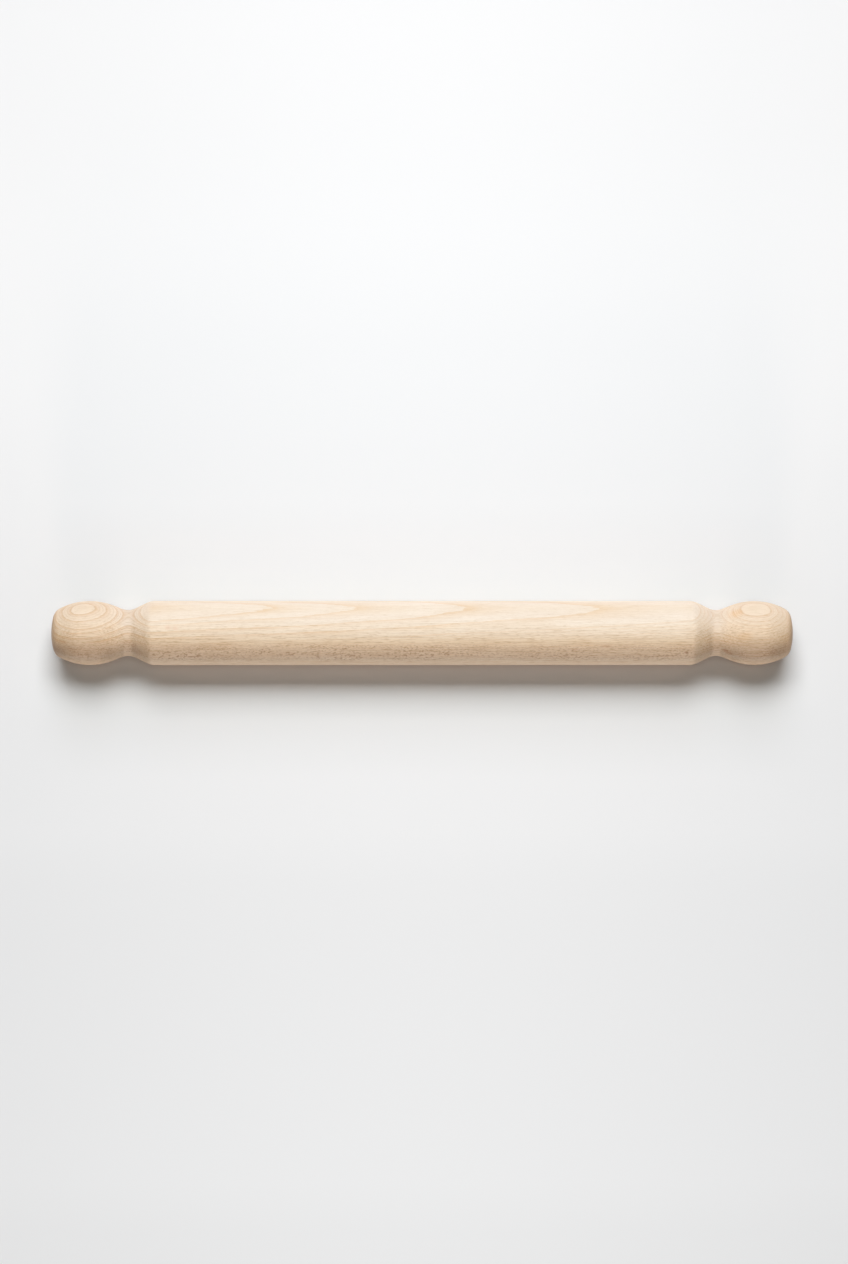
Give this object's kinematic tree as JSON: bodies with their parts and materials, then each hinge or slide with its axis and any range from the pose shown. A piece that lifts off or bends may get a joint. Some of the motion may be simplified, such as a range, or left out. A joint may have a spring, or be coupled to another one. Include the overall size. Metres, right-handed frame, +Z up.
{
  "type": "rolling pin",
  "caption": "One-piece turned wooden rolling pin: straight round barrel, soft shoulders, narrow necks and rounded knob handles at both ends.",
  "frame": {"origin": "middle of the turning axis, halfway between the two ends", "axes": "+X along the turning axis towards one knob, +Z up when the pin lies on a table"},
  "size_m": [0.46, 0.0398, 0.0398],
  "materials": {
    "turned_wood": "smooth sanded pale hardwood, bare or lightly oiled"
  },
  "bodies": {
    "root": {"turned_pin": "turned_wood"}
  },
  "joints": []
}
